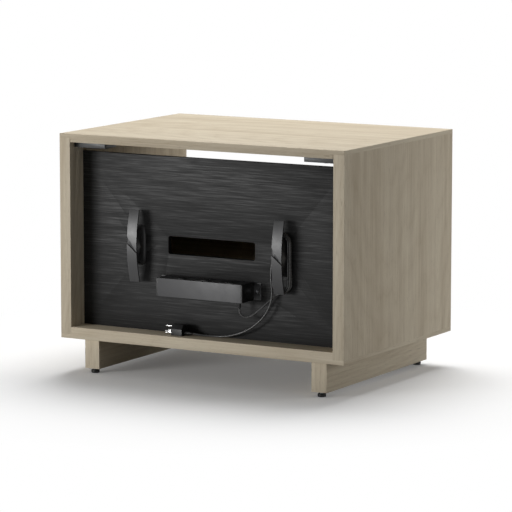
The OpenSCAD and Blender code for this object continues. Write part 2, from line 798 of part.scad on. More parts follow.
module prong_set(grow = 0) {
    out = plug_x + plug_len - prong_in - grow;
    for (k = [-1, 1]) block(
        [out, plug_mid_y + k * blade_gap / 2 - blade_t / 2 - grow, floor_z + prong_z - prong_h / 2 - grow],
        [out + prong_in + prong_len, plug_mid_y + k * blade_gap / 2 + blade_t / 2 + grow,
            floor_z + prong_z + prong_h / 2 + grow]);
    translate([out, plug_mid_y, floor_z + earth_z]) rotate([0, 90, 0])
        cylinder(d = earth_pin_d + 2 * grow, h = prong_in + prong_len + 1);
}

// The plug lies on the floor of the rear bay: a wide foot below, a narrow back above.
module plug_body() color(black) difference() {
    translate([plug_x, plug_mid_y, floor_z]) rotate([90, 0, 90]) linear_extrude(plug_len)
        polygon([[-plug_w / 2, 0], [plug_w / 2, 0], [plug_w / 2, plug_low], [plug_top_w / 2, plug_h],
            [-plug_top_w / 2, plug_h], [-plug_w / 2, plug_low]]);
    prong_set(fit_gap);
}

module plug_prongs() color(steel) difference() {
    prong_set();
    translate([plug_x + plug_len + prong_len - 4, plug_mid_y - plug_w / 2, floor_z + prong_z])
        along_y() cylinder(d = prong_hole_d, h = plug_w);
}

// ---- Nodes ----

top_panel();
mirror([1, 0, 0]) side_panel();  // side_left
side_panel();  // side_right
bottom_panel();
component_shelf();
adjustable_shelf();
back_panel();
shelf_pins();
top_dowels();
base_screws();
shelf_dowels();
mirror([1, 0, 0]) corner_bracket();  // corner_bracket_left
corner_bracket();  // corner_bracket_right
bracket_bolts();
top_inserts();
mirror([1, 0, 0]) leg();  // leg_left
leg();  // leg_right
leg_screws();
foot_inserts();
foot_pad(-1, -1);  // foot_pad_fl
foot_pad(1, -1);  // foot_pad_fr
foot_pad(-1, 1);  // foot_pad_rl
foot_pad(1, 1);  // foot_pad_rr
foot_stem(-1, -1);  // foot_stem_fl
foot_stem(1, -1);  // foot_stem_fr
foot_stem(-1, 1);  // foot_stem_rl
foot_stem(1, 1);  // foot_stem_rr
mirror([1, 0, 0]) door();  // door_left
door();  // door_right
mirror([1, 0, 0]) pivot_pins();  // pivot_pins_left
pivot_pins();  // pivot_pins_right
pivot_bushes();
door_catches();
catch_screws();
mirror([1, 0, 0]) strike();  // strike_left
strike();  // strike_right
color(steel) mirror([1, 0, 0]) strike_screw_at();  // strike_screw_left
color(steel) strike_screw_at();  // strike_screw_right
cord_wrap(-wrap_x);  // cord_wrap_left
cord_wrap(wrap_x);  // cord_wrap_right
wrap_screws();
power_bracket();
ear_screws();
power_housing();
end_cap_left();
end_cap_right();
stud_nuts();
outlets();
bus_bars();
power_switch();
cord_gland();
cord_lead();
cord_coil();
cord_tail();
plug_sleeve();
plug_body();
plug_prongs();
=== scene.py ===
import json
import math

import bmesh
import bpy
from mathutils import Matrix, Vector

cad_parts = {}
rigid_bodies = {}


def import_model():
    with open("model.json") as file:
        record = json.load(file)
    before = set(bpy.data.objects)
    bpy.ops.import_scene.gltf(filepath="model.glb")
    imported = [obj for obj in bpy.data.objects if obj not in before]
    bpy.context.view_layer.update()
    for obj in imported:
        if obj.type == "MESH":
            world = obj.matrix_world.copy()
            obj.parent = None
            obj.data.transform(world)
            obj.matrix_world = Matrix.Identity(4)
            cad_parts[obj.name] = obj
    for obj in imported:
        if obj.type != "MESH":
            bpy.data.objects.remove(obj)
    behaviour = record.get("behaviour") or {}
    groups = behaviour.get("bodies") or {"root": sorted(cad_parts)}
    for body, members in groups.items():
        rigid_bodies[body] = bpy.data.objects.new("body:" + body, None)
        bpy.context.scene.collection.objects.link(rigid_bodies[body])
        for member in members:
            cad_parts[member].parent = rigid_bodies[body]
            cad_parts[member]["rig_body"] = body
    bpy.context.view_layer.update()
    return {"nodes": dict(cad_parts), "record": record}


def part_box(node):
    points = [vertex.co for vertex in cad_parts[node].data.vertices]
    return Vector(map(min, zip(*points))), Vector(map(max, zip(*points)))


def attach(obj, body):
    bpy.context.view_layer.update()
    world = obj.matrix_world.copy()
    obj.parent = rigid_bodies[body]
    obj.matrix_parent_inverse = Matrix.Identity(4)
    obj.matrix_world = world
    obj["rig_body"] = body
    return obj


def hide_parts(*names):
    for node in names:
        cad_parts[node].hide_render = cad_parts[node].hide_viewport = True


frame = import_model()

mm = 0.001
slots = {part["node"]: part["material_slot"] for part in frame["record"]["subparts"]}
print("frame loaded:", len(frame["nodes"]), "nodes")

# The camera stands behind the cabinet, a little above its top
shot = {
    "place": (-3386.8, 5905.3, 1241.8),  # mm
    "turn": 29.858,  # degrees off the rear face's normal
    "down": 8.288,
    "lens": 220.8,
    "sensor": 36,
    "reach": 100,  # metres
}


def addCamera():
    cam = bpy.data.objects.new("camera", bpy.data.cameras.new("camera"))
    bpy.context.scene.collection.objects.link(cam)
    cam.location = Vector(shot["place"]) * mm
    turn, down = math.radians(shot["turn"]), math.radians(shot["down"])
    ahead = Vector((math.sin(turn) * math.cos(down), -math.cos(turn) * math.cos(down), -math.sin(down)))
    cam.rotation_euler = ahead.to_track_quat("-Z", "Y").to_euler()
    cam.data.lens = shot["lens"]
    cam.data.sensor_width = shot["sensor"]
    cam.data.clip_end = shot["reach"]
    cam.data.dof.use_dof = False
    bpy.context.scene.camera = cam


addCamera()
print("camera set")


def hexColour(text):
    parts = [int(text[i:i + 2], 16) / 255 for i in (1, 3, 5)]
    return [p / 12.92 if p <= 0.04045 else ((p + 0.055) / 1.055) ** 2.4 for p in parts] + [1]


# Adds one node. An input is a value, a node or a node's socket; stops are a ramp's places and shades
def addNode(tree, kind, inputs=(), stops=(), **settings):
    made = tree.nodes.new(kind)
    for key, value in settings.items():
        setattr(made, key, value)
    for number, (spot, shade) in enumerate(stops):
        points = made.color_ramp.elements
        point = points[number] if number < len(points) else points.new(spot)
        point.position = spot
        point.color = hexColour(shade) if isinstance(shade, str) else (shade, shade, shade, 1)
    for key, value in dict(inputs).items():
        if isinstance(value, bpy.types.Node):
            value = next(s for s in value.outputs if not s.is_unavailable)
        if isinstance(value, bpy.types.NodeSocket):
            tree.links.new(value, made.inputs[key])
        else:
            made.inputs[key].default_value = value
    return made


def newMaterial(name):
    made = bpy.data.materials.new(name)
    made.use_nodes = True
    made.node_tree.nodes.clear()
    return made, made.node_tree


# Crown-cut oak veneer, stained a light greige and matt lacquered. The eye gets soft arches,
# fine drawn-out pores and no strong contrast
oakLook = {
    "dark": "#BEAF96",
    "mid": "#CDC0A9",
    "pale": "#DACFB8",
    "pore": "#9B8C72",
    "ring": 12.5,  # mm from one growth ring to the next
    "slant": 0.14,  # how fast the log's heart runs out of the sheet
    "archDepth": 0.12,
    "bend": 0.07,  # how far the wander bends the rings across the sheet and in depth, metres
    "deepBend": 0.05,
    "ringWobble": 1.1,
    "lateWood": ((0.0, 0.50), (0.45, 1.0), (0.84, 0.35), (0.94, 0.0), (1.0, 0.45)),
    "lateMean": 0.62,
    "toneShare": 0.55,
    "streakShare": 0.45,
    "smooth": 0.50,
    "rough": 0.66,
}
# stretch along the grain, width in mm, detail. Pores are drawn twice their real width, so that they show
oakGrain = {
    "wander": (0.25, 160, 2), "wobble": (0.10, 35, 3), "patch": (0.30, 120, 2),
    "tone": (0.05, 28, 3), "streak": (0.022, 3.6, 4), "pore": (0.05, 1.1, 2),
}


def oakVeneer(name, along, across, heart, depth, seed):
    # along and across: the grain's axis, and the one across it on the face; 0 X, 1 Y, 2 Z
    made, t = newMaterial(name)
    where = addNode(t, "ShaderNodeTexCoord").outputs["Object"]
    axes = addNode(t, "ShaderNodeSeparateXYZ", {0: where}).outputs
    grain = {}
    for key, (stretch, size, detail) in oakGrain.items():
        scale = [1, 1, 1]
        scale[along] = stretch
        spot = addNode(t, "ShaderNodeMapping", {
            "Vector": where, "Location": (seed * 0.71, seed * 0.37, seed * 0.53), "Scale": scale})
        grain[key] = addNode(t, "ShaderNodeTexNoise", {
            "Vector": spot, "Scale": 1 / (size * mm), "Detail": detail, "Roughness": 0.58}).outputs[0]
    # growth rings round a heart that slants out of the sheet, which is what draws the arches
    u = addNode(t, "ShaderNodeMath", {0: grain["wander"], 1: oakLook["bend"], 2: axes[across]},
                operation="MULTIPLY_ADD")
    u = addNode(t, "ShaderNodeMath", {0: u, 1: -heart - oakLook["bend"] / 2}, operation="ADD")
    v = addNode(t, "ShaderNodeMath", {0: axes[along], 1: oakLook["slant"], 2: axes[3 - along - across]},
                operation="MULTIPLY_ADD")
    v = addNode(t, "ShaderNodeMath", {0: grain["wander"], 1: oakLook["deepBend"], 2: v},
                operation="MULTIPLY_ADD")
    v = addNode(t, "ShaderNodeMath", {0: v, 1: depth}, operation="ADD")
    ring = addNode(t, "ShaderNodeVectorMath", {0: addNode(t, "ShaderNodeCombineXYZ", {0: u, 1: v})},
                   operation="LENGTH")
    ring = addNode(t, "ShaderNodeMath", {0: ring, 1: 1 / (oakLook["ring"] * mm)}, operation="MULTIPLY")
    ring = addNode(t, "ShaderNodeMath", {0: grain["wobble"], 1: oakLook["ringWobble"], 2: ring},
                   operation="MULTIPLY_ADD")
    ring = addNode(t, "ShaderNodeMath", {0: ring}, operation="FRACT")
    late = addNode(t, "ShaderNodeValToRGB", {0: ring}, oakLook["lateWood"])
    late = addNode(t, "ShaderNodeMath", {0: late, 1: oakLook["lateMean"]}, operation="SUBTRACT")
    fade = addNode(t, "ShaderNodeMapRange", {
        "Value": grain["patch"], "From Min": 0.38, "From Max": 0.62, "To Min": 0.25 * oakLook["archDepth"],
        "To Max": oakLook["archDepth"]})
    level = addNode(t, "ShaderNodeMath", {0: late, 1: fade}, operation="MULTIPLY")
    for key, share in (("tone", "toneShare"), ("streak", "streakShare")):
        level = addNode(t, "ShaderNodeMath", {0: grain[key], 1: oakLook[share], 2: level},
                        operation="MULTIPLY_ADD")
    base = addNode(t, "ShaderNodeValToRGB", {0: level},
                   ((0.33, oakLook["dark"]), (0.50, oakLook["mid"]), (0.68, oakLook["pale"])))
    pores = addNode(t, "ShaderNodeValToRGB", {0: grain["pore"]}, ((0.30, 0.5), (0.39, 0.0)))
    colour = addNode(t, "ShaderNodeMix", {0: pores, 6: base, 7: hexColour(oakLook["pore"])},
                     data_type="RGBA")
    height = addNode(t, "ShaderNodeMath", {0: grain["streak"], 1: pores}, operation="SUBTRACT")
    rough = addNode(t, "ShaderNodeMapRange", {
        "Value": grain["streak"], "To Min": oakLook["smooth"], "To Max": oakLook["rough"]})
    bump = addNode(t, "ShaderNodeBump", {"Height": height, "Strength": 0.25, "Distance": 0.1 * mm})
    shader = addNode(t, "ShaderNodeBsdfPrincipled", {
        "Base Color": colour, "IOR": 1.5, "Specular IOR Level": 0.22, "Roughness": rough, "Normal": bump})
    addNode(t, "ShaderNodeOutputMaterial", {"Surface": shader})
    return made


# Black-stained oak veneer, satin. Its brushed grain shows as fine paler lines across the panel,
# and its colour is painted lighter towards the top and darker below, a painted highlight
ebonyLook = {
    "lines": ((0.028, 1.9), (0.05, 12)),  # stretch across the panel, width in mm
    "broadShare": 0.25,
    "shades": ((0.42, "#080808"), (0.50, "#0E0E0E"), (0.57, "#181818"), (0.66, "#2F2F2F")),
    # painted highlight: between these heights the colour is painted from darker to lighter, by this much
    "paintedHighlightFrom": 160,  # mm above the floor
    "paintedHighlightTo": 460,
    "paintedHighlight": 0.045,
    "smooth": 0.48,
    "rough": 0.66,
}


def blackVeneer(name):
    made, t = newMaterial(name)
    where = addNode(t, "ShaderNodeTexCoord").outputs["Object"]
    lines = []
    for stretch, size in ebonyLook["lines"]:
        spot = addNode(t, "ShaderNodeMapping", {"Vector": where, "Scale": (stretch, 1, 1)})
        lines.append(addNode(t, "ShaderNodeTexNoise", {
            "Vector": spot, "Scale": 1 / (size * mm), "Detail": 3, "Roughness": 0.6}).outputs[0])
    up = addNode(t, "ShaderNodeSeparateXYZ", {0: where}).outputs[2]
    # painted highlight: the panel lighter towards the top and darker below; it also makes the top a little
    # smoother
    paintedHighlight = addNode(t, "ShaderNodeMapRange", {
        "Value": up, "From Min": ebonyLook["paintedHighlightFrom"] * mm, "From Max": ebonyLook["paintedHighlightTo"] * mm,
        "To Min": -ebonyLook["paintedHighlight"], "To Max": ebonyLook["paintedHighlight"]})
    level = addNode(t, "ShaderNodeMix", {"Factor": ebonyLook["broadShare"], 2: lines[0], 3: lines[1]})
    level = addNode(t, "ShaderNodeMath", {0: level, 1: paintedHighlight}, operation="ADD")
    colour = addNode(t, "ShaderNodeValToRGB", {0: level}, ebonyLook["shades"])
    rough = addNode(t, "ShaderNodeMapRange", {
        "Value": level, "From Min": 0.4, "From Max": 0.65,
        "To Min": ebonyLook["rough"], "To Max": ebonyLook["smooth"]})
    bump = addNode(t, "ShaderNodeBump", {"Height": lines[0], "Strength": 0.5, "Distance": 0.2 * mm})
    shader = addNode(t, "ShaderNodeBsdfPrincipled", {
        "Base Color": colour, "Roughness": rough, "IOR": 1.5, "Specular IOR Level": 0.35, "Normal": bump})
    addNode(t, "ShaderNodeOutputMaterial", {"Surface": shader})
    return made


# Everything that is moulded, sprayed, plated or turned: colour, roughness, grain size in metres, stretch
# of the grain, depth of its relief, how dark the colour drifts, and 1 for metal
surfaces = {
    # powder coat on sheet steel: orange peel 1.5 mm across breaks up the shine
    "graphite_powder_coat": ("#303032", 0.42, 0.0015, (1, 1, 1), 0.00005, 0.90, 0),
    "black_powder_coat": ("#2A2B2B", 0.42, 0.0015, (1, 1, 1), 0.00005, 0.90, 0),
    # glass-filled nylon, ABS, PVC and polypropylene from a grained mould: a fine grit softens the gloss.
    # The real grit is about 0.1 mm, drawn coarser so that it shows
    "graphite_nylon": ("#3C3C3D", 0.36, 0.0006, (1, 1, 1), 0.00004, 0.88, 0),
    "black_abs": ("#151515", 0.40, 0.0006, (1, 1, 1), 0.00004, 0.85, 0),
    "moulded_pvc": ("#161616", 0.40, 0.0008, (1, 1, 1), 0.00004, 0.85, 0),
    "black_polypropylene": ("#101010", 0.50, 0.0009, (1, 1, 1), 0.00005, 0.85, 0),
    "natural_nylon": ("#DEDBD2", 0.42, 0.0006, (1, 1, 1), 0.00003, 0.92, 0),
    # PVC drawn over the cores: satin, with a slow ripple from the twist under it. The jacket is black; its
    # colour is lifted to mid grey, a painted sheen
    "extruded_pvc": ("#4E4E4E", 0.26, 0.004, (1, 1, 1), 0.00012, 0.85, 0),
    # plated or turned metal: bright, with rolled or turned lines, drawn 0.5 mm apart so that they show
    "zinc_plated_steel": ("#C6C7CA", 0.30, 0.0005, (1, 1, 0.05), 0.00003, 0.85, 1),
    "bright_nickel_plate": ("#DCDCDC", 0.20, 0.0005, (0.05, 1, 1), 0.00002, 0.90, 1),
    "turned_brass": ("#D9B25C", 0.28, 0.0005, (1, 1, 0.3), 0.00003, 0.85, 1),
    # beech dowel stock: even pinkish brown with short flecks along it
    "beech_dowel_stock": ("#D2A87C", 0.60, 0.0015, (0.2, 1, 0.2), 0.00005, 0.78, 0),
}
slotFinish = {
    "steel": "zinc_plated_steel", "beech": "beech_dowel_stock", "black_coat": "black_powder_coat",
    "brass": "turned_brass", "foot_plastic": "black_polypropylene", "nylon": "natural_nylon",
    "black_plastic": "black_abs", "graphite_coat": "graphite_powder_coat", "cord_jacket": "moulded_pvc",
    "graphite_plastic": "graphite_nylon", "plated_blades": "bright_nickel_plate",
    "black_veneer": "black_stained_veneer",
}


driftSize = 20  # mm across a patch of drifted colour


def workedSurface(name):
    shade, rough, size, stretch, relief, drift, metal = surfaces[name]
    made, t = newMaterial(name)
    where = addNode(t, "ShaderNodeTexCoord").outputs["Object"]
    spot = addNode(t, "ShaderNodeMapping", {"Vector": where, "Scale": stretch})
    fine = addNode(t, "ShaderNodeTexNoise", {"Vector": spot, "Scale": 1 / size, "Detail": 3}).outputs[0]
    broad = addNode(t, "ShaderNodeTexNoise", {
        "Vector": spot, "Scale": 1 / (driftSize * mm), "Detail": 2}).outputs[0]
    both = addNode(t, "ShaderNodeMix", {"Factor": 0.5, 2: fine, 3: broad})
    tint = addNode(t, "ShaderNodeValToRGB", {0: both}, ((0.32, drift), (0.62, 1.0)))
    colour = addNode(t, "ShaderNodeMix", {0: 1.0, 6: tint, 7: hexColour(shade)},
                     data_type="RGBA", blend_type="MULTIPLY")
    rough = addNode(t, "ShaderNodeMapRange", {
        "Value": both, "From Min": 0.3, "From Max": 0.7, "To Min": rough - 0.06, "To Max": rough + 0.07})
    bump = addNode(t, "ShaderNodeBump", {"Height": fine, "Strength": 0.35, "Distance": relief})
    kind = {"Metallic": 1.0} if metal else {"IOR": 1.5}
    shader = addNode(t, "ShaderNodeBsdfPrincipled", {
        "Base Color": colour, "Roughness": rough, "Normal": bump, **kind})
    addNode(t, "ShaderNodeOutputMaterial", {"Surface": shader})
    return made


finishes = {name: workedSurface(name) for name in surfaces}
finishes["black_stained_veneer"] = blackVeneer("black_stained_veneer")
print("materials made:", len(finishes), "besides the oak")


def linkMesh(name, mesh):
    made = bpy.data.objects.new(name, mesh)
    bpy.context.scene.collection.objects.link(made)
    return made


# Modifiers become plain mesh
def settle(piece):
    bpy.context.view_layer.update()
    ready = piece.evaluated_get(bpy.context.evaluated_depsgraph_get())
    mesh = bpy.data.meshes.new_from_object(ready)
    piece.modifiers.clear()
    piece.data = mesh
    return piece


# The piece rides where the node rides, and stands for it
def standFor(piece, node):
    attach(piece, frame["nodes"][node]["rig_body"])
    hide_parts(node)
    return piece


# The mains cord: it leaves the gland, is wound round the wrap, and runs down to its plug
cordFacts = {
    "diameter": 0.004,  # metres, as the length; the rest is in mm
    "length": 1.80,
    "exit": (-84, 223, 172),
    "lead": [
        (-84, 223, 171.5), (-84, 223, 165), (-87, 222.5, 158.5), (-93, 221.5, 154.5),
        (-101, 220.5, 153.5), (-110, 219, 156.5), (-120, 217, 163.5), (-130, 214.5, 172.5),
        (-140, 211.5, 182.5), (-150, 208, 192.5), (-157, 205.5, 199), (-164, 203.5, 204.5),
        (-171, 202.8, 208.5), (-179, 202.5, 210.5)],
    "tail": [
        (-158.5, 207.5, 292), (-156, 208, 278), (-154, 208.5, 264), (-153, 209, 249),
        (-154, 210, 234), (-156.5, 211, 220), (-157.5, 212, 207), (-156, 212.5, 193), (-151, 213, 178),
        (-143, 213, 163), (-131, 213, 149), (-116, 213, 136), (-98, 212, 124.5), (-78, 211, 115.5),
        (-57, 209.5, 109), (-37, 208, 105.2), (-18, 208, 104.2), (-3, 210, 104.2), (10, 214, 104.4),
        (21, 218.5, 106), (32, 222, 108)],
    "middle": (-179, 230.5, 317),  # x of the winding, z of its lower and upper centres
    "inner": 16.2,  # centreline radius of the inner turns
    "outer": 20.4,
    "layers": (202.7, 207.0, 211.3),  # y of the turns, from the panel outwards
    "arcSteps": 12,  # points on each half turn
    "straightSteps": 6,
}


# Three inner turns, one outer, and three quarters of a fifth
def windingPoints():
    x0, low, high = cordFacts["middle"]
    inner, outer, (near, mid, far) = cordFacts["inner"], cordFacts["outer"], cordFacts["layers"]
    turns = [(inner, near), (inner, mid), (inner, far), (outer, far), (outer, mid)]
    arc, straight = cordFacts["arcSteps"], cordFacts["straightSteps"]
    points = []
    for turn, (radius, y) in enumerate(turns):
        startRadius = outer if turn == 0 else radius
        for k in range(1 if turn == 0 else 0, arc // 2):  # round the bottom, heading to -X
            angle = math.pi * k / arc
            points.append((x0 - startRadius * math.sin(angle), y, low - startRadius * math.cos(angle)))
        for k in range(straight):  # up the -X side
            share = k / straight
            points.append((x0 - startRadius - (radius - startRadius) * share, y,
                           low + (high - low) * share))
        for k in range(arc):  # over the top
            angle = math.pi * k / arc
            points.append((x0 - radius * math.cos(angle), y, high + radius * math.sin(angle)))
        if turn == len(turns) - 1:
            points.append((x0 + radius, y, high))
            break
        nextRadius, nextY = turns[turn + 1]
        for k in range(straight):  # down the +X side, moving to the next place in its lower half
            share = k / straight
            move = max(0.0, 2 * share - 1)
            points.append((x0 + radius + (nextRadius - radius) * move, y + (nextY - y) * move,
                           high - (high - low) * share))
        for k in range(arc // 2):  # round to the bottom
            angle = math.pi * k / arc
            points.append((x0 + nextRadius * math.cos(angle), nextY, low - nextRadius * math.sin(angle)))
    return points


def addCord():
    curve = bpy.data.curves.new("mains_cord", "CURVE")
    curve.dimensions = "3D"
    curve.bevel_depth = cordFacts["diameter"] / 2
    curve.bevel_resolution = 3
    curve.use_fill_caps = True
    points = cordFacts["lead"] + windingPoints() + cordFacts["tail"]
    line = curve.splines.new("NURBS")
    line.points.add(len(points) - 1)
    for knot, where in zip(line.points, points):
        knot.co = [c * mm for c in where] + [1]
    line.order_u = 4  # a smooth curve just inside its points
    line.use_endpoint_u = True
    line.resolution_u = 3
    made = linkMesh("mains_cord", curve)
    # the black cord is coloured mid grey, a painted sheen
    made.data.materials.append(finishes["extruded_pvc"])
    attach(made, "case")
    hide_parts("cord_lead", "cord_coil", "cord_tail")
    return made


mainsCord = addCord()
print("cord laid")

# A node's shape with its edges eased: radius in metres, segments
easedPieces = {
    "back_panel": (0.0005, 2), "corner_bracket_left": (0.0005, 2), "corner_bracket_right": (0.0005, 2),
    "power_bracket": (0.0004, 2), "power_housing": (0.0010, 3), "end_cap_left": (0.0008, 3),
    "end_cap_right": (0.0008, 3), "outlets": (0.0003, 2), "power_switch": (0.0004, 2),
    "plug_sleeve": (0.0004, 2), "plug_body": (0.0014, 4), "plug_prongs": (0.0003, 2),
    "cord_gland": (0.0004, 2), "door_catches": (0.0004, 2),
    "foot_pad_fl": (0.0008, 3), "foot_pad_fr": (0.0008, 3),
    "foot_pad_rl": (0.0008, 3), "foot_pad_rr": (0.0008, 3),
}
sharpTurn = 32  # degrees; gentler edges are part of a curve


def easeNode(node, radius, segments, finish):
    work = bmesh.new()
    work.from_mesh(frame["nodes"][node].data)
    bmesh.ops.remove_doubles(work, verts=work.verts, dist=1e-6)
    bmesh.ops.dissolve_limit(work, angle_limit=math.radians(0.5), verts=work.verts, edges=work.edges)
    for face in work.faces:
        face.smooth = True
    mesh = bpy.data.meshes.new(node + "_eased")
    work.to_mesh(mesh)
    work.free()
    mesh.materials.clear()
    mesh.materials.append(finish)
    piece = linkMesh(node + "_eased", mesh)
    soft = piece.modifiers.new("edge", "BEVEL")
    soft.width = radius
    soft.segments = segments
    soft.limit_method = "ANGLE"
    soft.angle_limit = math.radians(sharpTurn)
    soft.use_clamp_overlap = True
    soft.harden_normals = True
    return standFor(settle(piece), node)


eased = {node: easeNode(node, radius, segments, finishes[slotFinish[slots[node]]])
         for node, (radius, segments) in easedPieces.items()}
print("small parts eased:", len(eased))

# Cord wraps: two bowed wings on a waisted post, parted by a slanting wedge that lets the cord slip off
wrapShape = {
    "reach": 35,  # mm from the panel to the wings' outside
    "halfWidth": 12,
    "halfHeight": 78,
    "sag": 12,  # how much nearer the panel the tips are
    "thick": 3,
    "slant": 1.11,  # rise of the wedge across the wing
    "wedgeWide": 8.0,  # half its height at the open side, then at the closed side
    "wedgeNarrow": 0.9,
    # distance off the panel, half width, half height and extra half width of the waist's lugs
    "post": [
        (0, 15, 44, 0), (2.2, 14, 43.5, 0), (3.6, 12.4, 42.6, 0), (6, 11.2, 41, 0),
        (11, 10.4, 39.5, 0), (16, 10.4, 38.5, 0.3), (18.5, 10.6, 38.2, 4.6), (21, 10.8, 38, 7.4),
        (25, 10.9, 38.4, 7.8), (28, 11.0, 39.5, 5.4), (30.5, 11.2, 39, 1.4), (32.2, 11.0, 35, 0.4)],
    "lugHalfHeight": 13,
    "squareness": 0.45,  # of the post's outline, where 1 is an ellipse
    "rows": 24,
    "columns": 8,
    "around": 64,
    "edge": 0.8,
    "sharpTurn": 40,  # degrees; gentler edges are part of a curve
}


def wingMesh(work, x0, panel, middle, up):
    w = wrapShape
    bow = (w["halfHeight"] ** 2 + w["sag"] ** 2) / (2 * w["sag"])
    grid = []
    for column in range(w["columns"] + 1):
        x = w["halfWidth"] * (2 * column / w["columns"] - 1)
        openShare = (x / w["halfWidth"] + 1) / 2
        gap = w["wedgeNarrow"] + (w["wedgeWide"] - w["wedgeNarrow"]) * openShare
        edge = w["slant"] * x + up * gap
        line = []
        for row in range(w["rows"] + 1):
            z = up * w["halfHeight"] + (edge - up * w["halfHeight"]) * row / w["rows"]
            pair = [panel + w["reach"] - bow + math.sqrt((bow - d) ** 2 - z * z) for d in (0, w["thick"])]
            line.append([work.verts.new(Vector((x0 + x, y, middle + z)) * mm) for y in pair])
        grid.append(line)
    last, end = w["columns"], w["rows"]
    for c in range(last):
        for r in range(end):
            for side in (0, 1):
                work.faces.new([grid[c + i][r + j][side] for i, j in ((0, 0), (1, 0), (1, 1), (0, 1))])
    rim = ([(c, 0) for c in range(last)] + [(last, r) for r in range(end)]
           + [(c, end) for c in range(last, 0, -1)] + [(0, r) for r in range(end, 0, -1)])
    for (c, r), (d, q) in zip(rim, rim[1:] + rim[:1]):
        work.faces.new([grid[c][r][0], grid[d][q][0], grid[d][q][1], grid[c][r][1]])


def postMesh(work, x0, panel, middle):
    rings = []
    for off, wide, tall, lug in wrapShape["post"]:
        ring = []
        for k in range(wrapShape["around"]):
            angle = 2 * math.pi * k / wrapShape["around"]
            c, s = math.cos(angle), math.sin(angle)
            z = tall * math.copysign(abs(c) ** wrapShape["squareness"], c)
            spread = wide + lug * math.exp(-(z / wrapShape["lugHalfHeight"]) ** 2)
            x = spread * math.copysign(abs(s) ** wrapShape["squareness"], s)
            ring.append(work.verts.new(Vector((x0 + x, panel + off, middle + z)) * mm))
        rings.append(ring)
    for low, high in zip(rings, rings[1:]):
        for k in range(len(low)):
            n = (k + 1) % len(low)
            work.faces.new([low[k], low[n], high[n], high[k]])
    work.faces.new(rings[0])
    work.faces.new(rings[-1])


def addWraps():
    for node in ("cord_wrap_left", "cord_wrap_right"):
        low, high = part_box(node)
        x0, panel, middle = (low[0] + high[0]) / 2 / mm, low[1] / mm, (low[2] + high[2]) / 2 / mm
        work = bmesh.new()
        postMesh(work, x0, panel, middle)
        for up in (1, -1):
            wingMesh(work, x0, panel, middle, up)
        bmesh.ops.recalc_face_normals(work, faces=work.faces)
        for face in work.faces:
            face.smooth = True
        mesh = bpy.data.meshes.new(node + "_formed")
        work.to_mesh(mesh)
        work.free()
        mesh.materials.append(finishes["graphite_nylon"])
        piece = linkMesh(node + "_formed", mesh)
        soft = piece.modifiers.new("edge", "BEVEL")
        soft.width = wrapShape["edge"] * mm
        soft.segments = 3
        soft.limit_method = "ANGLE"
        soft.angle_limit = math.radians(wrapShape["sharpTurn"])
        soft.harden_normals = True
        standFor(settle(piece), node)
    print("cord wraps formed")


addWraps()

# Boards: grain axis, axis across it, where the log's heart lies across and in depth, edge radius; metres
boards = {
    "top_panel": (0, 1, 0.05, 0.10, 0.0006),
    "bottom_panel": (0, 1, -0.05, -0.09, 0.0006),
    "side_left": (2, 1, 0.02, -0.39, 0.0006),
    "side_right": (2, 1, 0.013, 0.31, 0.0006),
    "component_shelf": (0, 1, 0.02, -0.35, 0.0006),
    "adjustable_shelf": (0, 1, 0.09, -0.22, 0.0006),
    "door_left": (2, 0, -0.14, 0.20, 0.0008),
    "door_right": (2, 0, 0.17, 0.22, 0.0008),
    "leg_left": (1, 2, 0.12, 0.24, 0.0008),
    "leg_right": (1, 2, 0.14, -0.30, 0.0008),
}
endSlope = 0.7  # a face that looks more than this along the grain is a banded end
bandHeart, bandDepth, bandSeed = 0.03, 0.09, 20


def addBoards():
    for number, (node, (along, across, heart, depth, radius)) in enumerate(boards.items()):
        low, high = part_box(node)
        face = oakVeneer("crown_oak_" + node, along, across, heart, depth, 1 + number)
        piece = easeNode(node, radius, 2, face)
        longer = max({0, 1, 2} - {along}, key=lambda axis: high[axis] - low[axis])
        piece.data.materials.append(
            oakVeneer("banded_oak_" + node, longer, 3 - along - longer,
                      bandHeart, bandDepth, bandSeed + number))
        for side in piece.data.polygons:
            side.material_index = int(abs(side.normal[along]) > endSlope)


addBoards()
print("boards made:", len(boards))


def newTree(name, sizes):
    tree = bpy.data.node_groups.new(name, "GeometryNodeTree")
    tree.interface.new_socket(name="Geometry", in_out="INPUT", socket_type="NodeSocketGeometry")
    for label, kind in sizes.items():
        tree.interface.new_socket(name=label, in_out="INPUT", socket_type="NodeSocket" + kind)
    tree.interface.new_socket(name="Geometry", in_out="OUTPUT", socket_type="NodeSocketGeometry")
    return tree, addNode(tree, "NodeGroupInput").outputs


# Puts shape at every seed point, turned, and ends the tree
def closeTree(tree, given, shape):
    spread = addNode(tree, "GeometryNodeInstanceOnPoints", {
        "Points": given["Geometry"], "Instance": shape, "Rotation": given["Turn"]})
    solid = addNode(tree, "GeometryNodeRealizeInstances", {0: spread})
    dressed = addNode(tree, "GeometryNodeSetMaterial", {"Geometry": solid, "Material": given["Finish"]})
    addNode(tree, "NodeGroupOutput", {0: dressed})
    return tree


# A screw whose head's top is at the seed, with a cross recess cut in it
fastenerShape = {
    "headSides": 40,
    "shankSides": 20,
    "slitShare": 0.24,  # of the recess's width
    "cutShare": 1.1,  # height of the cutting cross, half of it in the head
}


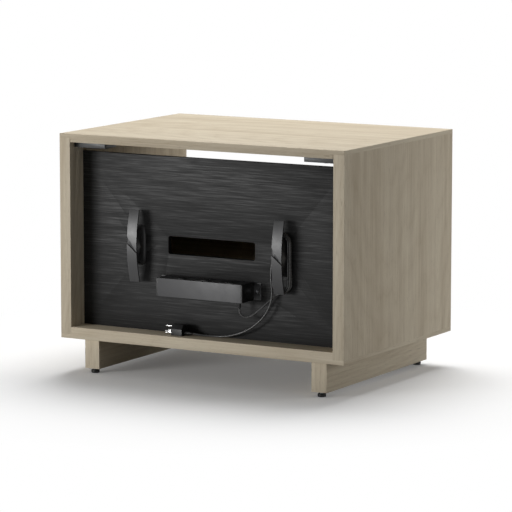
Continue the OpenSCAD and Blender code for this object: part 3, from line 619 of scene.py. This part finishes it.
def fastenerTree():
    tree, given = newTree("fastener", {
        "Top Radius": "Float", "Seat Radius": "Float", "Head Height": "Float", "Shank Radius": "Float",
        "Shank Length": "Float", "Recess": "Float", "Turn": "Rotation", "Finish": "Material"})
    drop = addNode(tree, "ShaderNodeMath", {0: given["Head Height"], 1: -1.0}, operation="MULTIPLY")
    cone = addNode(tree, "GeometryNodeMeshCone", {
        "Vertices": fastenerShape["headSides"], "Radius Top": given["Top Radius"],
        "Radius Bottom": given["Seat Radius"], "Depth": given["Head Height"]})
    head = addNode(tree, "GeometryNodeTransform", {
        "Geometry": cone, "Translation": addNode(tree, "ShaderNodeCombineXYZ", {2: drop})})
    slit = addNode(tree, "ShaderNodeMath", {0: given["Recess"], 1: fastenerShape["slitShare"]},
                   operation="MULTIPLY")
    deep = addNode(tree, "ShaderNodeMath", {0: given["Head Height"], 1: fastenerShape["cutShare"]},
                   operation="MULTIPLY")
    cross = [addNode(tree, "GeometryNodeMeshCube", {"Size": addNode(tree, "ShaderNodeCombineXYZ", {
        0: a, 1: b, 2: deep})}) for a, b in ((given["Recess"], slit), (slit, given["Recess"]))]
    cut = addNode(tree, "GeometryNodeMeshBoolean", {"Mesh 1": head, "Mesh 2": cross[0]},
                  operation="DIFFERENCE")
    cut = addNode(tree, "GeometryNodeMeshBoolean", {"Mesh 1": cut, "Mesh 2": cross[1]},
                  operation="DIFFERENCE")
    half = addNode(tree, "ShaderNodeMath", {0: given["Shank Length"], 1: -0.5, 2: drop},
                   operation="MULTIPLY_ADD")
    rod = addNode(tree, "GeometryNodeMeshCylinder", {
        "Vertices": fastenerShape["shankSides"], "Radius": given["Shank Radius"],
        "Depth": given["Shank Length"]})
    shank = addNode(tree, "GeometryNodeTransform", {
        "Geometry": rod, "Translation": addNode(tree, "ShaderNodeCombineXYZ", {2: half})})
    both = addNode(tree, "GeometryNodeJoinGeometry", {0: cut})
    tree.links.new(shank.outputs[0], both.inputs[0])
    return closeTree(tree, given, both)


ribSides = {"hoop": 28, "wire": 8, "grip": 8}


# Rings along an axis from the seed, growing or shrinking evenly: the ribs of a strain relief
def ringTree():
    tree, given = newTree("ring_ribs", {
        "Count": "Int", "Pitch": "Float", "First Radius": "Float", "Last Radius": "Float",
        "Thickness": "Float", "Turn": "Rotation", "Finish": "Material"})
    line = addNode(tree, "GeometryNodeMeshLine", {
        "Count": given["Count"], "Offset": addNode(tree, "ShaderNodeCombineXYZ", {2: given["Pitch"]})})
    last = addNode(tree, "ShaderNodeMath", {0: given["Count"], 1: 1.0}, operation="SUBTRACT")
    radius = addNode(tree, "ShaderNodeMapRange", {
        "Value": addNode(tree, "GeometryNodeInputIndex"), "From Max": last,
        "To Min": given["First Radius"], "To Max": given["Last Radius"]})
    hoop = addNode(tree, "GeometryNodeCurvePrimitiveCircle", {
        "Resolution": ribSides["hoop"], "Radius": 1.0})
    hoops = addNode(tree, "GeometryNodeInstanceOnPoints", {
        "Points": line, "Instance": hoop, "Scale": radius})
    wire = addNode(tree, "GeometryNodeCurvePrimitiveCircle", {
        "Resolution": ribSides["wire"], "Radius": given["Thickness"]})
    ribs = addNode(tree, "GeometryNodeCurveToMesh", {
        "Curve": addNode(tree, "GeometryNodeRealizeInstances", {0: hoops}), "Profile Curve": wire})
    return closeTree(tree, given, addNode(tree, "GeometryNodeSetShadeSmooth", {0: ribs}))


# Upright ribs round a pad, for fingers to turn it by
def gripTree():
    tree, given = newTree("grip_ribs", {
        "Count": "Int", "Radius": "Float", "Height": "Float", "Rib Radius": "Float",
        "Turn": "Rotation", "Finish": "Material"})
    ring = addNode(tree, "GeometryNodeCurvePrimitiveCircle", {
        "Resolution": given["Count"], "Radius": given["Radius"]})
    rib = addNode(tree, "GeometryNodeMeshCone", {
        "Vertices": ribSides["grip"], "Radius Top": given["Rib Radius"],
        "Radius Bottom": given["Rib Radius"], "Depth": given["Height"]})
    return closeTree(tree, given, addNode(tree, "GeometryNodeInstanceOnPoints", {
        "Points": ring, "Instance": rib}))


# Runs a tree on the seed points and keeps the result as plain mesh
def grow(name, tree, seeds, facing, sizes, finish):
    mesh = bpy.data.meshes.new(name)
    mesh.from_pydata(seeds, [], [])
    piece = linkMesh(name, mesh)
    turn = Vector((0, 0, 1)).rotation_difference(Vector(facing)).to_euler()
    wanted = dict(sizes, Turn=list(turn), Finish=finishes[finish])
    live = piece.modifiers.new("grow", "NODES")
    live.node_group = tree
    for item in tree.interface.items_tree:
        if item.in_out == "INPUT" and item.name in wanted:
            live[item.identifier] = wanted[item.name]
    return settle(piece)


# The box of each separate solid of a CAD node
def solidBoxes(node):
    work = bmesh.new()
    work.from_mesh(frame["nodes"][node].data)
    bmesh.ops.remove_doubles(work, verts=work.verts, dist=1e-6)
    left, boxes = set(work.verts), []
    while left:
        found, edge = set(), [left.pop()]
        while edge:
            vert = edge.pop()
            found.add(vert)
            for link in vert.link_edges:
                other = link.other_vert(vert)
                if other in left:
                    left.discard(other)
                    edge.append(other)
        spots = [v.co for v in found]
        boxes.append([Vector([pick(s[k] for s in spots) for k in range(3)]) for pick in (min, max)])
    work.free()
    return sorted(boxes, key=lambda box: tuple(box[0]))


# Each row: axis and sign that the head faces, head height, top and seat radius as shares of the head's,
# shank radius, recess; mm
fasteners = {
    "ear_screws": (1, 1, 2.4, 0.70, 1.00, 2.0, 4.0),
    "wrap_screws": (1, -1, 2.4, 1.00, 0.50, 1.9, 4.2),
    "base_screws": (2, -1, 3.2, 1.00, 0.45, 2.4, 5.6),
    "leg_screws": (2, 1, 3.4, 1.00, 0.45, 2.6, 6.0),
    "catch_screws": (2, -1, 1.6, 1.00, 0.50, 1.3, 3.0),
    "strike_screw_left": (1, 1, 1.5, 1.00, 0.50, 1.3, 3.0),
    "strike_screw_right": (1, 1, 1.5, 1.00, 0.50, 1.3, 3.0),
    "bracket_bolts": (2, -1, 2.5, 0.88, 1.00, 3.0, 6.0),
}


def addFasteners():
    tree = fastenerTree()
    total = 0
    for node, (axis, sign, height, top, seat, shank, recess) in fasteners.items():
        boxes = solidBoxes(node)
        low, high = boxes[0]
        across = [k for k in range(3) if k != axis]
        radius = max(high[k] - low[k] for k in across) / 2
        seeds = []
        for low, high in boxes:
            seed = (low + high) / 2
            seed[axis] = high[axis] if sign > 0 else low[axis]
            seeds.append(seed)
        facing = [0, 0, 0]
        facing[axis] = sign
        piece = grow(node + "_cut", tree, seeds, facing, {
            "Top Radius": radius * top, "Seat Radius": radius * seat, "Head Height": height * mm,
            "Shank Radius": shank * mm, "Shank Length": high[axis] - low[axis] - height * mm,
            "Recess": recess * mm}, slotFinish[slots[node]])
        standFor(piece, node)
        total += len(seeds)
    print("screws and bolts made:", total)


addFasteners()

ribs = {
    # start, direction, count, pitch, first and last radius, thickness; mm
    "gland_ribs": ((-84, 223, 186.5), (0, 0, -1), 6, 2.3, 4.0, 2.95, 0.45),
    "plug_sleeve_ribs": ((50, 222.5, 108), (-1, 0, 0), 7, 2.5, 4.45, 3.05, 0.45),
}
gripLook = {"count": 28, "proud": 0.15, "low": 1.6, "height": 4.6, "rib": 0.45}  # mm


def addRibs():
    tree = ringTree()
    for name, (start, facing, count, pitch, first, last, thick) in ribs.items():
        piece = grow(name, tree, [Vector(start) * mm], facing, {
            "Count": count, "Pitch": pitch * mm, "First Radius": first * mm, "Last Radius": last * mm,
            "Thickness": thick * mm}, "moulded_pvc")
        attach(piece, "case")
    tree = gripTree()
    for corner in ("fl", "fr", "rl", "rr"):
        low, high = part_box("foot_pad_" + corner)
        middle = (low + high) / 2
        middle[2] = low[2] + gripLook["low"] * mm
        piece = grow("foot_grip_" + corner, tree, [middle], (0, 0, 1), {
            "Count": gripLook["count"],
            "Radius": (high[0] - low[0]) / 2 + (gripLook["proud"] - gripLook["rib"]) * mm,
            "Height": gripLook["height"] * mm, "Rib Radius": gripLook["rib"] * mm}, "black_polypropylene")
        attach(piece, "foot_" + corner)
    print("ribs made")


addRibs()

# CAD nodes that are right as they are
for node, shape in frame["nodes"].items():
    shape.data.materials.clear()
    shape.data.materials.append(finishes[slotFinish.get(slots[node], "black_abs")])
print("CAD nodes dressed:", len(frame["nodes"]))

# Floor and lamps. Beyond the cabinet the floor runs out to plain white
stageLook = {
    "paint": "#FAFAFA",
    "bounce": "#8E8E8E",  # what the floor gives back to the cabinet
    "whiteFrom": 0.38,  # metres from the cabinet's middle
    "whiteTo": 0.95,
    "lift": 0.08,
    "sky": 0.19,
    "across": 60,
}
lamps = {
    # place, aim, width and height in metres, watts
    "top_softbox": ((0.30, -0.95, 2.9), (0.0, 0, 0.3), (2.0, 1.8), 80),
    "rear_softbox": ((1.9, 2.9, 0.48), (0, 0.2, 0.3), (1.2, 0.6), 50),
    "front_softbox": ((-2.7, -1.6, 0.75), (-0.2, 0, 0.3), (1.6, 0.8), 19),
}


def addStage():
    bpy.ops.mesh.primitive_plane_add(size=stageLook["across"], location=(0, 0, 0))
    floor = bpy.context.object
    floor.name = "floor"
    made, t = newMaterial("painted_floor")
    where = addNode(t, "ShaderNodeTexCoord").outputs["Object"]
    rays = addNode(t, "ShaderNodeLightPath").outputs
    seen = addNode(t, "ShaderNodeMath", {0: rays["Is Camera Ray"], 1: rays["Is Glossy Ray"]},
                   operation="MAXIMUM")
    seen = addNode(t, "ShaderNodeMath", {0: seen, 1: rays["Is Transmission Ray"]}, operation="MAXIMUM")
    tint = addNode(t, "ShaderNodeMix", {
        0: seen, 6: hexColour(stageLook["bounce"]), 7: hexColour(stageLook["paint"])}, data_type="RGBA")
    paint = addNode(t, "ShaderNodeBsdfDiffuse", {"Color": tint})
    lift = addNode(t, "ShaderNodeEmission", {
        "Color": (1, 1, 1, 1),
        "Strength": addNode(t, "ShaderNodeMath", {0: seen, 1: stageLook["lift"]}, operation="MULTIPLY")})
    near = addNode(t, "ShaderNodeAddShader", {0: paint, 1: lift})
    far = addNode(t, "ShaderNodeEmission", {"Color": (1, 1, 1, 1), "Strength": 1.0})
    reach = addNode(t, "ShaderNodeMapRange", {
        "Value": addNode(t, "ShaderNodeVectorMath", {0: where}, operation="LENGTH"),
        "From Min": stageLook["whiteFrom"], "From Max": stageLook["whiteTo"]},
        interpolation_type="SMOOTHSTEP")
    share = addNode(t, "ShaderNodeMath", {0: reach, 1: seen}, operation="MULTIPLY")
    addNode(t, "ShaderNodeOutputMaterial", {
        "Surface": addNode(t, "ShaderNodeMixShader", {0: share, 1: near, 2: far})})
    floor.data.materials.append(made)
    world = bpy.data.worlds.new("studio")
    bpy.context.scene.world = world
    world.use_nodes = True
    w = world.node_tree
    w.nodes.clear()
    rays = addNode(w, "ShaderNodeLightPath").outputs
    seen = addNode(w, "ShaderNodeMath", {0: rays["Is Camera Ray"], 1: rays["Is Transmission Ray"]},
                   operation="MAXIMUM")
    dim = addNode(w, "ShaderNodeBackground", {"Color": (1, 1, 1, 1), "Strength": stageLook["sky"]})
    white = addNode(w, "ShaderNodeBackground", {"Color": (1, 1, 1, 1), "Strength": 1.0})
    addNode(w, "ShaderNodeOutputWorld", {
        "Surface": addNode(w, "ShaderNodeMixShader", {0: seen, 1: dim, 2: white})})


def addLamps():
    for name, (spot, aim, size, watts) in lamps.items():
        data = bpy.data.lights.new(name, "AREA")
        data.shape = "RECTANGLE"
        data.size, data.size_y = size
        data.energy = watts
        lamp = linkMesh(name, data)
        lamp.location = spot
        lamp.rotation_euler = (Vector(aim) - Vector(spot)).to_track_quat("-Z", "Y").to_euler()


addStage()
addLamps()
bpy.context.scene.view_settings.view_transform = "Standard"
print("stage and lamps ready")
